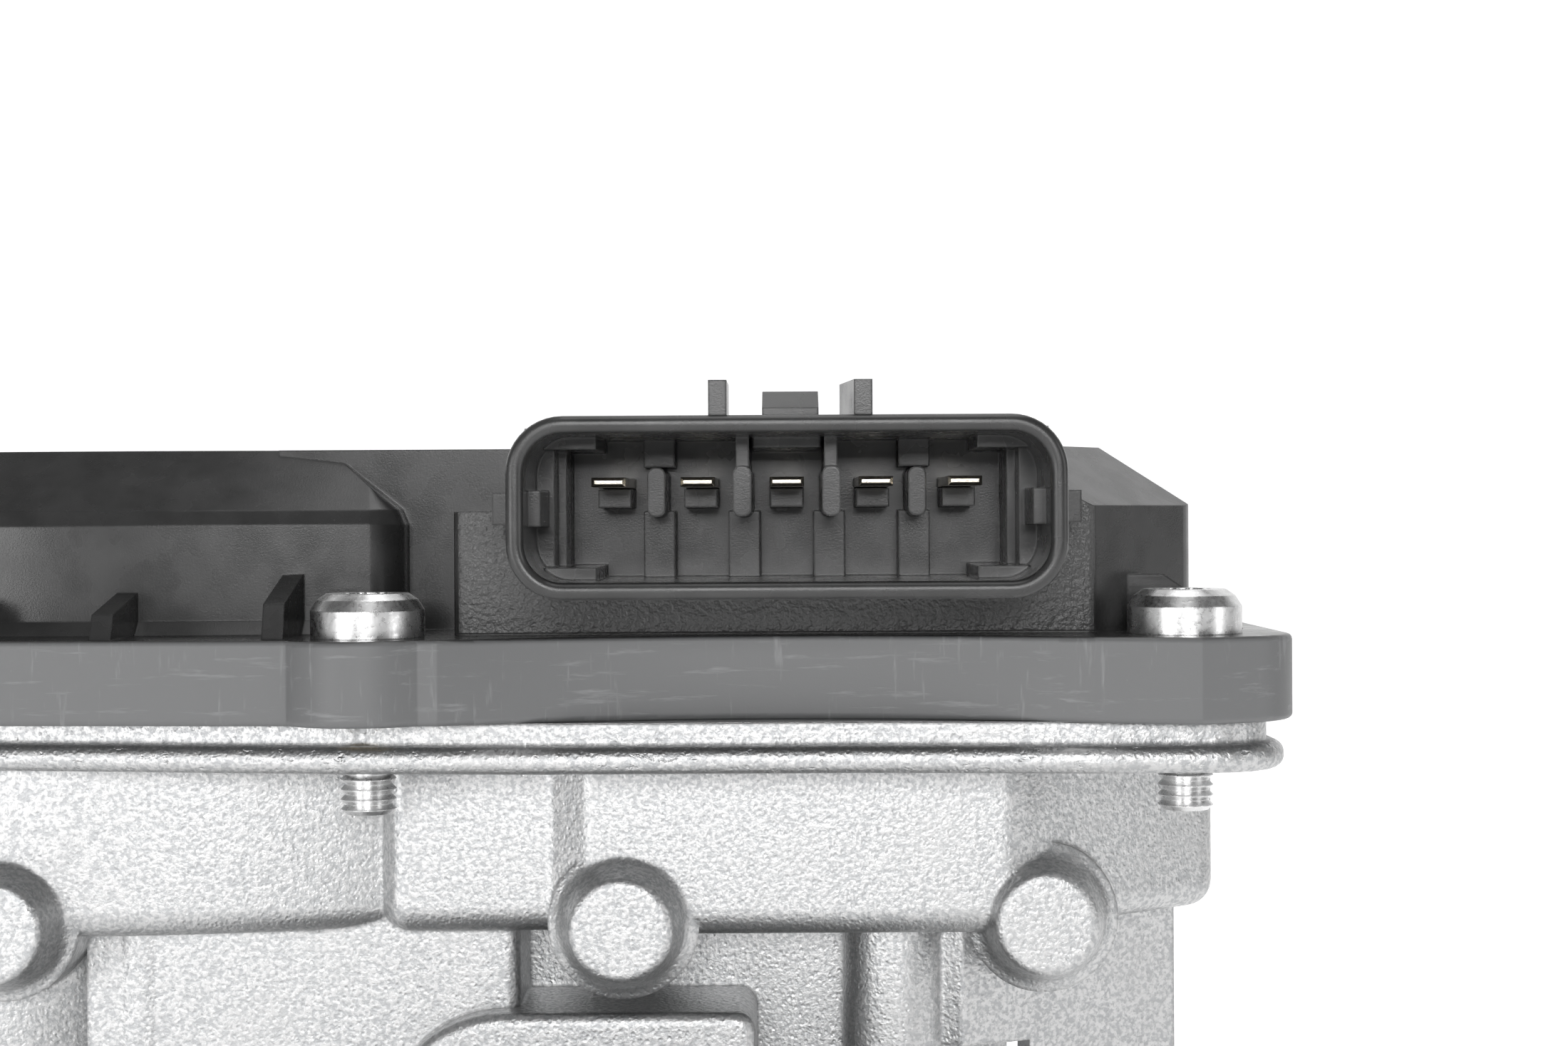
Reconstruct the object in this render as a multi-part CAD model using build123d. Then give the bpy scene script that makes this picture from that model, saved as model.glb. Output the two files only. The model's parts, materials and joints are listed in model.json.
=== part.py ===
from build123d import *
import math
import os

# Electronic throttle body: a cast housing with a round air bore, a butterfly plate on a vertical
# shaft, a two-stage gear train driven by a small DC motor, and a moulded gear cover that carries
# a five-way connector.  Millimetres.  +Z is up along the throttle shaft, towards the gear cover,
# and the air bore runs along Y.  The sub-parts are drawn about the point where shaft and bore
# cross, and are written with the origin at the centre of the manifold face.

# ---------------------------------------------------------------- barrel, flange and plate
BORE_R = 30.0
BORE_WALL = 4.0
BARREL_R = BORE_R + BORE_WALL
FACE_Y = 40.0            # manifold face, measured from the shaft
SPIGOT_END_Y = -46.0     # free end of the hose spigot
SPIGOT_R = BARREL_R - 1.0
SPIGOT_LEN = 16.0        # plain round length that takes the hose, behind the nose
SPIGOT_NOSE = 1.0
FLANGE_T = 8.0
BOLT_HALF_X = BORE_R - 5.0      # manifold bolts, from the bore axis
BOLT_HALF_Z = BORE_R + 1.0
BOLT_HOLE_R = 3.3
BOLT_LUG_R = 8.5
BOLT_PATH_R = 5.0        # room for the bolt head and its driver
PLATE_GAP = 0.08         # butterfly edge to bore
PLATE_T = 2.0
PLATE_SCREW_Z = 11.0
PLATE_SCREW_R = 1.5

# ---------------------------------------------------------------- levels
BOX_BOTTOM_Z = BARREL_R + 11.8
FLOOR_Z = BOX_BOTTOM_Z + 2.7
BOX_DEPTH = 13.5
JOINT_Z = FLOOR_Z + BOX_DEPTH   # plane where cover and housing meet
WALL_TOP_Z = JOINT_Z + 14.9     # where the sloped shoulder begins
ROOF_Z = JOINT_Z + 19.4

# ---------------------------------------------------------------- shaft and its bearings
SHAFT_R = 5.0
SHAFT_FLAT = SHAFT_R - 0.8      # flats that carry the sector gear
SHAFT_TOP_Z = JOINT_Z + 4.0
RUN_GAP = 0.04           # radial running clearance
SEAT_GAP = 0.02          # clearance of pieces that sit in a pocket
BEARING_R = SHAFT_R + 6.0
BEARING_W = 6.0
BEARING_Z = FLOOR_Z - 9.0
BALL_R = 1.8
BALL_COUNT = 9
SEAL_R = SHAFT_R + 3.0
SEAL_T = 3.4
RETAINER_T = 1.2
NEEDLE_R = 0.95
NEEDLE_COUNT = int(3 * (SHAFT_R + NEEDLE_R) / NEEDLE_R) - 2
NEEDLE_LEN = 7.6
NEEDLE_SHELL = 0.6
LOWER_SEAL_T = 2.8
PLUG_T = 1.6
LOWER_BOSS_R = SHAFT_R + 6.0

# ---------------------------------------------------------------- gear box of the housing
LIP_T = 1.95             # round-nosed lip of the housing flange
BAND_T = 1.55            # plain band above the lip
BAND_IN = 1.2
BOX_WALL = 2.6
FRONT_Y = -28.0
FRONT_STEP_Y = -26.2     # the front wall left of its small step
RIGHT_X = 45.0
BACK_Y = 26.8
FRONT_ARC_FROM = -98.0   # where the long front wall leaves the round end, in degrees
NECK_LOW_Z = BOX_BOTTOM_Z - 9.5
CHEEK_H = 3.4            # how far the neck's right side hangs below the rest
PAD_PLACES = [(-45.0, -26.4), (0.0, -26.6), (30.6, -25.0)]
PAD_Z = BOX_BOTTOM_Z + 1.05
PAD_FACE_R = 3.15
PAD_ROOT_R = 4.6
PAD_OUT = 3.0            # how far a cast pad stands in front of the wall

# ---------------------------------------------------------------- gear cover
COVER_FLANGE_T = 5.9
COVER_WALL = 2.2
SHOULDER_IN = 5.6        # how far the sloped shoulder runs in
SIDE_SHOULDER_IN = 6.6   # the same on the right
RIM_H, RIM_IN = 1.1, 0.45       # steep band between wall and shoulder
EDGE_R = 0.4             # rounding of the cover's edges
SKIRT = 1.0              # slope between walls and flange
SETBACK_Y = -22.0        # wall between the bulge and the connector block
BLOCK_FACE_Y = -30.5
BLOCK_LEFT_X, BLOCK_RIGHT_X = -11.8, 33.8
BLOCK_TOP_Z = JOINT_Z + 14.7
BLOCK_HIGH_X = -5.0      # the block reaches the roof from here to the right
SIDE_X = 42.6
SIDE_FRONT_Y, SIDE_BACK_Y = -20.0, 14.0
BACK_RIGHT_X, COVER_BACK_Y = 34.6, 24.4
SEAL_IN, SEAL_OUT = 1.7, 0.25   # edges of the cover seal, inwards from the face of the box wall
SEAL_H = 1.8

# ---------------------------------------------------------------- connector
SOCKET_X, SOCKET_Z = 12.0, JOINT_Z + 14.85
SOCKET_W, SOCKET_H = 36.6, 12.0
SOCKET_R = 3.7
SOCKET_WALL = 1.15
SOCKET_FACE_Y = -45.0
SOCKET_BACK_Y = -29.0
PIN_COUNT = 5
PIN_PITCH = 6.0
PIN_W, PIN_T = 2.3, 0.64
PIN_Z = SOCKET_Z + 1.75
PIN_TIP_Y = -39.5
STRIP_W = 1.7            # leads that run on from the pins under the roof

# ---------------------------------------------------------------- screws
SCREW_PLACES = [(-17.6, -32.0), (40.0, -32.0), (41.0, 27.0), (-12.0, 32.0), (-64.5, 11.5), (-69.5, -23.0)]
SCREW_R = 1.95
SCREW_HEAD_R = SCREW_R + 2.05
SCREW_HEAD_H = 3.1
SCREW_POINT_Z = JOINT_Z - 6.5
SCREW_ROOT_SHARE = 0.82  # thread root over thread crest
THREAD_PITCH = 0.7
LIMITER_R = SCREW_R + 0.95
LIMITER_GAP = 0.2

# ---------------------------------------------------------------- gears
SECTOR_TEETH, SECTOR_PINION_TEETH, SECTOR_MODULE = 50, 13, 0.9
IDLER_TEETH, MOTOR_PINION_TEETH, IDLER_MODULE = 48, 12, 0.75
PRESSURE_ANGLE = 25.0
BACKLASH = 0.16
THROTTLE_TRAVEL = 84.0   # degrees from closed to open
TOOTH_MARGIN = 12.0      # degrees of teeth beyond the mesh at each end of the travel
IDLER_ANGLE = 190.0      # direction of the idler as seen from the shaft
MOTOR_ANGLE = 188.0      # direction of the motor as seen from the idler
BIG_GEAR_Z = (FLOOR_Z + 3.0, FLOOR_Z + 7.5)
SMALL_GEAR_Z = (BIG_GEAR_Z[1], JOINT_Z + 2.6)
SECTOR_Z = (BIG_GEAR_Z[1] + 1.2, JOINT_Z + 2.2)
HUB_R = 13.0
SLEEVE_R = SHAFT_R + 1.1
CUP_R = 11.0
CUP_WALL = 1.4
CUP_TOP_Z = JOINT_Z + 12.0
MAGNET_T = 2.2
IDLER_PIN_R = 2.5
IDLER_PIN_Z = (FLOOR_Z - 6.5, JOINT_Z + 9.5)
SPRING_R = SLEEVE_R + 1.85      # mean radius of the return spring
SPRING_WIRE_R = 0.7
SPRING_TURNS = 4
SPRING_PITCH = 1.65

# ---------------------------------------------------------------- motor
MOTOR_R = 14.5
MOTOR_TOP_Z = FLOOR_Z - 1.5
MOTOR_LEN = 44.0
MOTOR_CAN_T = 1.2
MOTOR_POCKET_GAP = 0.3
MOTOR_POCKET_WALL = 3.2
MOTOR_BOSS_R, MOTOR_BOSS_H = 4.5, 2.2
MOTOR_PLATE_T = 1.5
MOTOR_SHAFT_R = 1.6
MOTOR_EAR_R = MOTOR_R + 4.3     # motor screws, from the motor axis
MOTOR_EAR_ANGLES = (58.0, -42.0)
MOTOR_SCREW_R = 1.5
ARMATURE_R = MOTOR_R - 3.9
ARMATURE_SLOTS = 5
COMMUTATOR_R = 4.2
BLADE_OUT = MOTOR_R - 4.3       # motor blades, from the motor axis
BLADE_HALF = 5.6

# ---------------------------------------------------------------- places worked out from them
IDLER_CD = SECTOR_MODULE * (SECTOR_TEETH + SECTOR_PINION_TEETH) / 2
MOTOR_CD = IDLER_MODULE * (IDLER_TEETH + MOTOR_PINION_TEETH) / 2
IDLER_X = IDLER_CD * math.cos(math.radians(IDLER_ANGLE))
IDLER_Y = IDLER_CD * math.sin(math.radians(IDLER_ANGLE))
MOTOR_X = IDLER_X + MOTOR_CD * math.cos(math.radians(MOTOR_ANGLE))
MOTOR_Y = IDLER_Y + MOTOR_CD * math.sin(math.radians(MOTOR_ANGLE))
SECTOR_TIP_R = SECTOR_MODULE * (SECTOR_TEETH / 2 + 1)
POCKET_R = MOTOR_R + MOTOR_POCKET_GAP
MOTOR_HOUSING_R = POCKET_R + MOTOR_POCKET_WALL
END_R = MOTOR_HOUSING_R + 1.3
MOTOR_LOW_Z = MOTOR_TOP_Z - MOTOR_LEN
POCKET_Z = MOTOR_LOW_Z - 1.4
LIP_Z = JOINT_Z - BAND_T - LIP_T
COVER_FLANGE_Z = JOINT_Z + COVER_FLANGE_T
CEILING_Z = ROOF_Z - COVER_WALL
SEAL_Z = BEARING_Z - SEAL_T
LOWER_SEAL_Z = -BARREL_R + 0.5
LOWER_POCKET_R = SHAFT_R + 2 * NEEDLE_R + NEEDLE_SHELL + RUN_GAP
NEEDLE_TOP_Z = LOWER_SEAL_Z - LOWER_SEAL_T - 0.3
NEEDLE_LOW_Z = NEEDLE_TOP_Z - NEEDLE_LEN - 1.4
SHAFT_BOTTOM_Z = NEEDLE_LOW_Z + 0.8
PLUG_Z = NEEDLE_LOW_Z - 0.1 - PLUG_T
LOWER_BOSS_Z = PLUG_Z - 0.3
MAGNET_Z = (SHAFT_TOP_Z + 0.6, CUP_TOP_Z - 1)
CLIP_LOW_Z, CLIP_LEG_Z = JOINT_Z - 1.0, PIN_Z - 2.6
PIN_XS = [SOCKET_X + (i - (PIN_COUNT - 1) / 2) * PIN_PITCH for i in range(PIN_COUNT)]
BLADE_PLACES = [(MOTOR_X - BLADE_OUT, MOTOR_Y + side * BLADE_HALF) for side in (-1, 1)]

os.makedirs("parts", exist_ok=True)


# ---------------------------------------------------------------- small helpers
def cylinder(x, y, z_low, z_high, radius):
    """An upright round bar."""
    return Pos(x, y, (z_low + z_high) / 2) * Cylinder(radius, z_high - z_low)


def ring(x, y, z_low, z_high, r_in, r_out):
    return cylinder(x, y, z_low, z_high, r_out) - cylinder(x, y, z_low - 1, z_high + 1, r_in)


def bar_y(x, z, y_low, y_high, radius):
    """A round bar along Y."""
    return Pos(x, (y_low + y_high) / 2, z) * Rot(90, 0, 0) * Cylinder(radius, y_high - y_low)


def block(x, y, z):
    """A box from three (low, high) pairs."""
    size = [high - low for low, high in (x, y, z)]
    centre = [(low + high) / 2 for low, high in (x, y, z)]
    return Pos(*centre) * Box(*size)


def prism(sketch, z_low, z_high):
    return extrude(Pos(0, 0, z_low) * sketch, z_high - z_low)


def prism_y(sketch, y_low, y_high):
    """A sketch drawn in X and Z, pushed from y_low to y_high."""
    return extrude(Pos(0, y_high, 0) * Rot(90, 0, 0) * sketch, y_high - y_low)


def turned(points, x=0.0, y=0.0):
    """A profile of (radius, z) points, turned round the upright axis at x, y."""
    profile = make_face(Polyline(*[(r, 0, z) for r, z in points], close=True))
    return Pos(x, y, 0) * revolve(profile, Axis.Z)


def grow(sketch, amount):
    return offset(sketch, amount, kind=Kind.ARC)


def round_corners(sketch, radius, keep=lambda v: True):
    return fillet([v for v in sketch.vertices() if keep(v)], radius)


def polar(angle, radius):
    return radius * math.cos(math.radians(angle)), radius * math.sin(math.radians(angle))


def closed(*curves):
    return make_face(Wire([e for curve in curves for e in curve.edges()]))


def level_edges(solid, z):
    return [e for e in solid.edges() if abs(e.bounding_box().min.Z - z) < 1e-4
            and abs(e.bounding_box().max.Z - z) < 1e-4]


def level_y_edges(solid, y):
    return [e for e in solid.edges() if abs(e.bounding_box().min.Y - y) < 1e-4
            and abs(e.bounding_box().max.Y - y) < 1e-4]


def write(name, shape):
    """Moves the origin to the centre of the manifold face and writes one sub-part."""
    moved = Pos(0, -FACE_Y, 0) * Compound(list(shape.solids()))
    export_step(moved, f"parts/{name}.step")


# ---------------------------------------------------------------- plan outlines
def on_motor_end(angle):
    """A point of the round end of box and cover, which is centred on the motor."""
    x, y = polar(angle, END_R)
    return MOTOR_X + x, MOTOR_Y + y


def around_motor(front_corner, back_corner):
    """Both long walls and the round end, from the front corner round the motor to the back corner."""
    x, y = back_corner[0] - MOTOR_X, back_corner[1] - MOTOR_Y
    touch = math.degrees(math.atan2(y, x)) + math.degrees(math.acos(END_R / math.hypot(x, y)))
    heading = Vector(*polar(FRONT_ARC_FROM + 90, 1))
    front, back = on_motor_end(FRONT_ARC_FROM), on_motor_end(touch)
    return [TangentArc(front, front_corner, tangent=heading), ThreePointArc(front, on_motor_end(180), back),
            Line(back, back_corner)]


def box_outline():
    """Outer wall of the gear box."""
    front_corner, back_corner = (-18.0, -24.4), (-14.0, BACK_Y)
    face = closed(*around_motor(front_corner, back_corner), Polyline(
        front_corner, (-17.0, FRONT_STEP_Y), (-5.5, FRONT_STEP_Y), (-2.5, FRONT_Y), (28.4, FRONT_Y),
        (RIGHT_X, -16.0), (RIGHT_X, 16.0), (36.0, BACK_Y), back_corner))
    face = round_corners(face, 3.0, lambda v: v.X > 20)
    return round_corners(face, 1.6, lambda v: -17.5 < v.X < -2 and v.Y < 0)


def bulge_outline():
    """Bulge of the cover over the motor and the idler."""
    front_corner, back_corner = (-16.3, -26.0), (-16.3, COVER_BACK_Y)
    face = closed(*around_motor(front_corner, back_corner), Line(front_corner, back_corner))
    return round_corners(face, 2.6, lambda v: v.X > -17 and v.Y < 0)


def cover_outline(block_left, block_y):
    """Middle and right of the cover; the block in front runs from block_left to the right."""
    face = make_face(Polyline(
        (-26.0, SETBACK_Y), (block_left, SETBACK_Y), (block_left, block_y), (BLOCK_RIGHT_X, block_y),
        (SIDE_X, SIDE_FRONT_Y), (SIDE_X, SIDE_BACK_Y), (BACK_RIGHT_X, COVER_BACK_Y), (-26.0, COVER_BACK_Y),
        close=True))
    face = round_corners(face, 0.8, lambda v: v.Y < -24)
    return round_corners(face, 3.0, lambda v: v.X > 34 and v.Y > -24)


def lip_outline():
    face = make_face(Polyline(
        (-76.0, -28.6), (-45.0, -31.6), (-18.5, -35.2), (-5.0, -36.2), (17.0, -36.2), (34.0, -37.3),
        (46.9, -37.3), (46.9, 32.4), (-6.0, 38.4), (-19.0, 38.0), (-72.0, 17.5), (-76.0, 10.0), close=True))
    return round_corners(face, 5.6, lambda v: v.X > 40 or v.X < -70 or v.Y > 37)


def cover_flange_outline():
    """Edge of the cover: round bosses at the front screws and a long easy hollow between them."""
    left, right = (-12.0, -37.0), (33.0, -37.2)
    face = closed(
        Polyline((-76.4, -29.6), (-45.0, -34.9), (-26.0, -36.1), left),
        ThreePointArc(left, (10.5, -32.6), right),
        Polyline(right, (40.0, -39.0), (47.4, -36.0), (47.4, 33.0), (-6.0, 39.0), (-19.0, 38.6),
                 (-72.5, 18.0), (-76.4, 10.0), (-76.4, -29.6)),
    )
    face = round_corners(face, 5.6, lambda v: v.X > 45 or v.X < -70 or v.Y > 37)
    return face + Pos(-17.6, -32.0) * Circle(6.5)


# ---------------------------------------------------------------- housing
def neck_outline():
    """Casting between barrel and gear box, seen from above."""
    face = make_face(Polyline(
        (-40.0, -24.0), (-8.0, -24.0), (-8.0, -16.5), (16.0, -16.5), (25.0, -21.5), (42.2, -14.0),
        (42.2, 14.0), (34.0, 20.0), (-30.0, 20.0), (-40.0, 8.0), close=True))
    face = round_corners(face, 1.0, lambda v: v.X == -8.0 and v.Y < -20)
    return face + Pos(20.2, -18.2) * Circle(4.1)


def neck():
    plan = neck_outline()
    slab = prism(plan, NECK_LOW_Z, BOX_BOTTOM_Z + 1)
    beside = block((BOLT_HALF_X + BOLT_PATH_R + 0.3, RIGHT_X), (-FACE_Y, FACE_Y), (0, FLOOR_Z))
    slab += prism(plan, NECK_LOW_Z - CHEEK_H, NECK_LOW_Z + 1) & beside
    stem = prism(plan, BORE_R - 8, NECK_LOW_Z + 1)
    path_in = BOLT_HALF_X - BOLT_PATH_R
    stem = stem & block((-path_in, path_in), (-FACE_Y, FACE_Y), (0, FLOOR_Z))
    ear = make_face(Polyline((-18.0, 22.0), (-18.0, 40.0), (9.5, 40.0), (9.5, 22.0), close=True))
    ear = round_corners(ear, 9.0, lambda v: v.X < 0 and v.Y > 30)
    ear = prism_y(round_corners(ear, 1.4, lambda v: v.X > 0 and v.Y > 30), -26.7, -16.0)
    ear = fillet(level_y_edges(ear, -26.7), 0.8)
    left_pocket = block((-36.0, -14.0), (-20.0, 4.0), (NECK_LOW_Z - 1, BOX_BOTTOM_Z))
    right_pocket = block((26.0, 38.0), (-10.0, 12.0), (NECK_LOW_Z - CHEEK_H - 1, BOX_BOTTOM_Z))
    return slab + stem + ear - left_pocket - right_pocket


def manifold_flange():
    lugs = [(x, z) for x in (-BOLT_HALF_X, BOLT_HALF_X) for z in (-BOLT_HALF_Z, BOLT_HALF_Z)]
    outline = make_hull([e for x, z in lugs for e in (Pos(x, z) * Circle(BOLT_LUG_R)).edges()])
    outline += Circle(BARREL_R + 3)
    plate = prism_y(outline, FACE_Y - FLANGE_T, FACE_Y)
    for x, z in lugs:
        plate -= bar_y(x, z, FACE_Y - FLANGE_T - 1, FACE_Y + 1, BOLT_HOLE_R)
    return plate


def gear_box():
    outline = box_outline()
    box = prism(outline, BOX_BOTTOM_Z, LIP_Z + 1)
    box = fillet(level_edges(box, BOX_BOTTOM_Z), 2.0)
    lip = prism(lip_outline(), LIP_Z, LIP_Z + LIP_T)
    lip = fillet(level_edges(lip, LIP_Z) + level_edges(lip, LIP_Z + LIP_T), 0.9)
    band = prism(grow(lip_outline(), -BAND_IN), LIP_Z + LIP_T - 0.5, JOINT_Z)
    return box + lip + band


def motor_housing():
    low = POCKET_Z - MOTOR_POCKET_WALL - MOTOR_BOSS_H + 1.4
    cup = fillet(level_edges(cylinder(MOTOR_X, MOTOR_Y, low, FLOOR_Z, MOTOR_HOUSING_R), low), 4.0)
    for angle in MOTOR_EAR_ANGLES:
        x, y = polar(angle, MOTOR_EAR_R)
        cup += cylinder(MOTOR_X + x, MOTOR_Y + y, NECK_LOW_Z, FLOOR_Z, 3.6)
    web = block((MOTOR_X + 10, -BORE_R + 4), (-14.0, 4.0), (2.0, NECK_LOW_Z - 8))
    return cup + web


def cast_pad(x, wall_y):
    """A round pad with drafted sides that straddles the lower edge of the gear box."""
    rim, foot, skirt = (PAD_FACE_R, -PAD_OUT), (PAD_ROOT_R - 0.25, -0.9), (PAD_ROOT_R + 0.9, 0.35)
    profile = closed(
        Polyline((0, 5.0), (0, -PAD_OUT), rim),
        ThreePointArc(rim, (PAD_FACE_R + 0.45, -PAD_OUT + 0.17), (PAD_FACE_R + 0.65, -PAD_OUT + 0.6)),
        Line((PAD_FACE_R + 0.65, -PAD_OUT + 0.6), foot),
        ThreePointArc(foot, (PAD_ROOT_R + 0.15, -0.1), skirt),
        Polyline(skirt, (PAD_ROOT_R + 0.9, 5.0), (0, 5.0)),
    )
    return Pos(x, wall_y - 1.4, PAD_Z) * revolve(profile, Axis.Y)


def motor_plate_outline():
    plate = Circle(MOTOR_R)
    for angle in MOTOR_EAR_ANGLES:
        x, y = polar(angle, MOTOR_EAR_R)
        plate += Pos(x, y) * Circle(3.4)
        plate += Rot(0, 0, angle) * Pos(MOTOR_EAR_R / 2, 0) * Rectangle(MOTOR_EAR_R, 6.8)
    return Pos(MOTOR_X, MOTOR_Y) * plate


def throttle_housing():
    body = bar_y(0, 0, SPIGOT_END_Y, FACE_Y, SPIGOT_R)
    body = chamfer(level_y_edges(body, SPIGOT_END_Y), SPIGOT_NOSE)
    body += bar_y(0, 0, SPIGOT_END_Y + SPIGOT_NOSE + SPIGOT_LEN, FACE_Y, BARREL_R)
    body += manifold_flange() + neck() + motor_housing() + gear_box()
    body += cylinder(0, 0, LOWER_BOSS_Z, -BORE_R + 5, LOWER_BOSS_R)
    body += cylinder(0, 0, BORE_R - 5, FLOOR_Z, BEARING_R + 4)
    for x, wall_y in PAD_PLACES:
        body += cast_pad(x, wall_y)
    body -= bar_y(0, 0, SPIGOT_END_Y - 1, FACE_Y + 1, BORE_R)
    body -= prism(grow(box_outline(), -BOX_WALL), FLOOR_Z, JOINT_Z + 1)
    body += cylinder(IDLER_X, IDLER_Y, BOX_BOTTOM_Z - 4, FLOOR_Z + 1.2, 5.0)
    body -= cylinder(IDLER_X, IDLER_Y, IDLER_PIN_Z[0], FLOOR_Z + 2, IDLER_PIN_R)
    body -= cylinder(MOTOR_X, MOTOR_Y, POCKET_Z, FLOOR_Z + 1, POCKET_R)
    body -= cylinder(MOTOR_X, MOTOR_Y, POCKET_Z - MOTOR_BOSS_H + 0.8, FLOOR_Z, MOTOR_BOSS_R + 0.8)
    body -= prism(grow(motor_plate_outline(), 0.25), MOTOR_TOP_Z, FLOOR_Z + 1)
    for angle in MOTOR_EAR_ANGLES:
        x, y = polar(angle, MOTOR_EAR_R)
        body -= cylinder(MOTOR_X + x, MOTOR_Y + y, NECK_LOW_Z + 1.6, FLOOR_Z, MOTOR_SCREW_R + SEAT_GAP)
    body -= cylinder(0, 0, BEARING_Z, FLOOR_Z + 1, BEARING_R + SEAT_GAP)
    body -= cylinder(0, 0, SEAL_Z, BEARING_Z + 1, SEAL_R + SEAT_GAP)
    body -= cylinder(0, 0, LOWER_BOSS_Z, SEAL_Z + 1, SHAFT_R + 0.1)
    body -= cylinder(0, 0, LOWER_BOSS_Z - 1, LOWER_SEAL_Z, LOWER_POCKET_R + SEAT_GAP)
    for x, y in SCREW_PLACES:
        body -= cylinder(x, y, LIP_Z - 1, JOINT_Z + 1, SCREW_R + SEAT_GAP)
    return body


# ---------------------------------------------------------------- gear cover
def shoulder(outline, z_low, z_high, run_in):
    """Slopes inwards all round from the outline at z_low up to z_high."""
    angle = math.degrees(math.atan2(run_in, z_high - z_low))
    return extrude(Pos(0, 0, z_low) * outline, z_high - z_low, taper=angle)


def right_side_outline():
    """The slanted, right-hand and back walls of the cover, carried on far past its front and left."""
    run, rise = SIDE_X - BLOCK_RIGHT_X, SIDE_FRONT_Y - BLOCK_FACE_Y
    far_y = BLOCK_FACE_Y - 3 * rise
    return make_face(Polyline(
        (-60.0, far_y), (BLOCK_RIGHT_X - 3 * run, far_y), (SIDE_X, SIDE_FRONT_Y), (SIDE_X, SIDE_BACK_Y),
        (BACK_RIGHT_X, COVER_BACK_Y), (-60.0, COVER_BACK_Y), close=True))


def cover_body(inset, block_y):
    """The hollow part of the cover, drawn a wall smaller when inset is given."""
    outlines = (bulge_outline(), cover_outline(BLOCK_LEFT_X, block_y), cover_outline(BLOCK_HIGH_X, block_y),
                right_side_outline())
    bulge, low, high, right_side = [grow(o, -inset) if inset else o for o in outlines]
    wall_top, roof, base = WALL_TOP_Z - inset / 2, ROOF_Z - inset, JOINT_Z - inset
    body = prism(bulge, base, wall_top - RIM_H)
    body += shoulder(bulge, wall_top - RIM_H, wall_top, RIM_IN)
    body += shoulder(grow(bulge, -RIM_IN), wall_top, roof, SHOULDER_IN)
    body += prism(low, base, BLOCK_TOP_Z - inset)
    sloped = prism(right_side, base, wall_top) + shoulder(right_side, wall_top, roof, SIDE_SHOULDER_IN)
    return body + (prism(high, base, roof) & sloped)


def socket_tube(y_low, y_high, inset):
    outline = RectangleRounded(SOCKET_W - 2 * inset, SOCKET_H - 2 * inset, SOCKET_R - inset)
    return prism_y(Pos(SOCKET_X, SOCKET_Z) * outline, y_low, y_high)


def socket_rim():
    """The open end of the socket, with both edges rounded."""
    rim = socket_tube(SOCKET_FACE_Y, SOCKET_FACE_Y + 5, 0)
    rim -= socket_tube(SOCKET_FACE_Y - 1, SOCKET_FACE_Y + 6, SOCKET_WALL)
    return fillet(level_y_edges(rim, SOCKET_FACE_Y), 0.5)


def socket_block(x, y, z):
    """A box placed from the centre of the socket."""
    return block([SOCKET_X + v for v in x], y, [SOCKET_Z + v for v in z])


def connector_keys():
    """Ribs and steps inside the socket."""
    half_w, half_h = SOCKET_W / 2 - SOCKET_WALL / 2, SOCKET_H / 2 - SOCKET_WALL / 2
    back = SOCKET_BACK_Y + 0.5
    keys = []
    for side in (-1, 1):
        keys.append(socket_block(sorted((side * 15.9, side * half_w)), (-36.5, back), (-half_h, half_h)))
        keys.append(socket_block(sorted((side * 15.3, side * 16.2)), (-34.0, back), (-half_h, half_h)))
        keys.append(socket_block(sorted((side * 16.3, side * half_w)), (-42.0, back), (-1.2, 1.2)))
        for top in (-1, 1):
            low_high = sorted((top * 4.0, top * half_h))
            keys.append(socket_block(sorted((side * 12.9, side * half_w)), (-38.5, back), low_high))
    for i in range(PIN_COUNT - 1):
        x = (i - (PIN_COUNT - 2) / 2) * PIN_PITCH
        inner = 0 < i < PIN_COUNT - 2
        front = -40.0 if inner else -35.5
        divider = RectangleRounded(1.25, 3.4, 0.55)
        keys.append(prism_y(Pos(SOCKET_X + x, SOCKET_Z + 1.1) * divider, front, back))
        keys.append(socket_block((x - 1.1, x + 1.1), (-31.6, back), (-half_h, -0.2)))
        if inner:
            keys.append(socket_block((x - 0.45, x + 0.45), (-38.0, back), (2.6, half_h)))
        else:
            keys.append(socket_block((x - 1.1, x + 1.1), (-31.6, back), (2.9, half_h)))
    keys.append(socket_block((-2.3, 2.3), (-37.0, back), (4.1, half_h)))
    for x in PIN_XS:
        keys.append(block((x - PIN_W / 2, x + PIN_W / 2), (-33.5, back), (PIN_Z - 1.7, PIN_Z - 0.4)))
    return keys


def latch():
    """Catch for the plug on top of the socket, with a guard rib on each side."""
    top = SOCKET_Z + SOCKET_H / 2
    left = block((6.9, 8.1), (-44.4, -38.2), (top - 0.5, top + 2.3))
    right = prism(make_face(Polyline((16.4, -44.4), (17.6, -44.4), (17.6, -38.2), (15.6, -38.2), close=True)),
                  top - 0.5, top + 2.3)
    ramp = Rot(0, -90, 0) * make_face(Polyline((top - 0.5, -43.6), (top + 0.5, -43.6), (top + 1.7, -41.0),
                                               (top + 1.7, -39.0), (top - 0.5, -39.0), close=True))
    ramp = extrude(Pos(14.1, 0, 0) * ramp, 3.7)
    return [left, right, ramp]


def leaning_rib(x, wall_y, height):
    """A thin three-cornered rib from the wall down to the flange."""
    profile = make_face(Polyline((x, wall_y + 1, COVER_FLANGE_Z - 0.3), (x, wall_y - 6.4, COVER_FLANGE_Z - 0.3),
                                 (x, wall_y - 5.6, COVER_FLANGE_Z + height * 0.55),
                                 (x, wall_y + 1, COVER_FLANGE_Z + height), close=True))
    return extrude(profile, 1.5, dir=(1, 0, 0))


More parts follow.
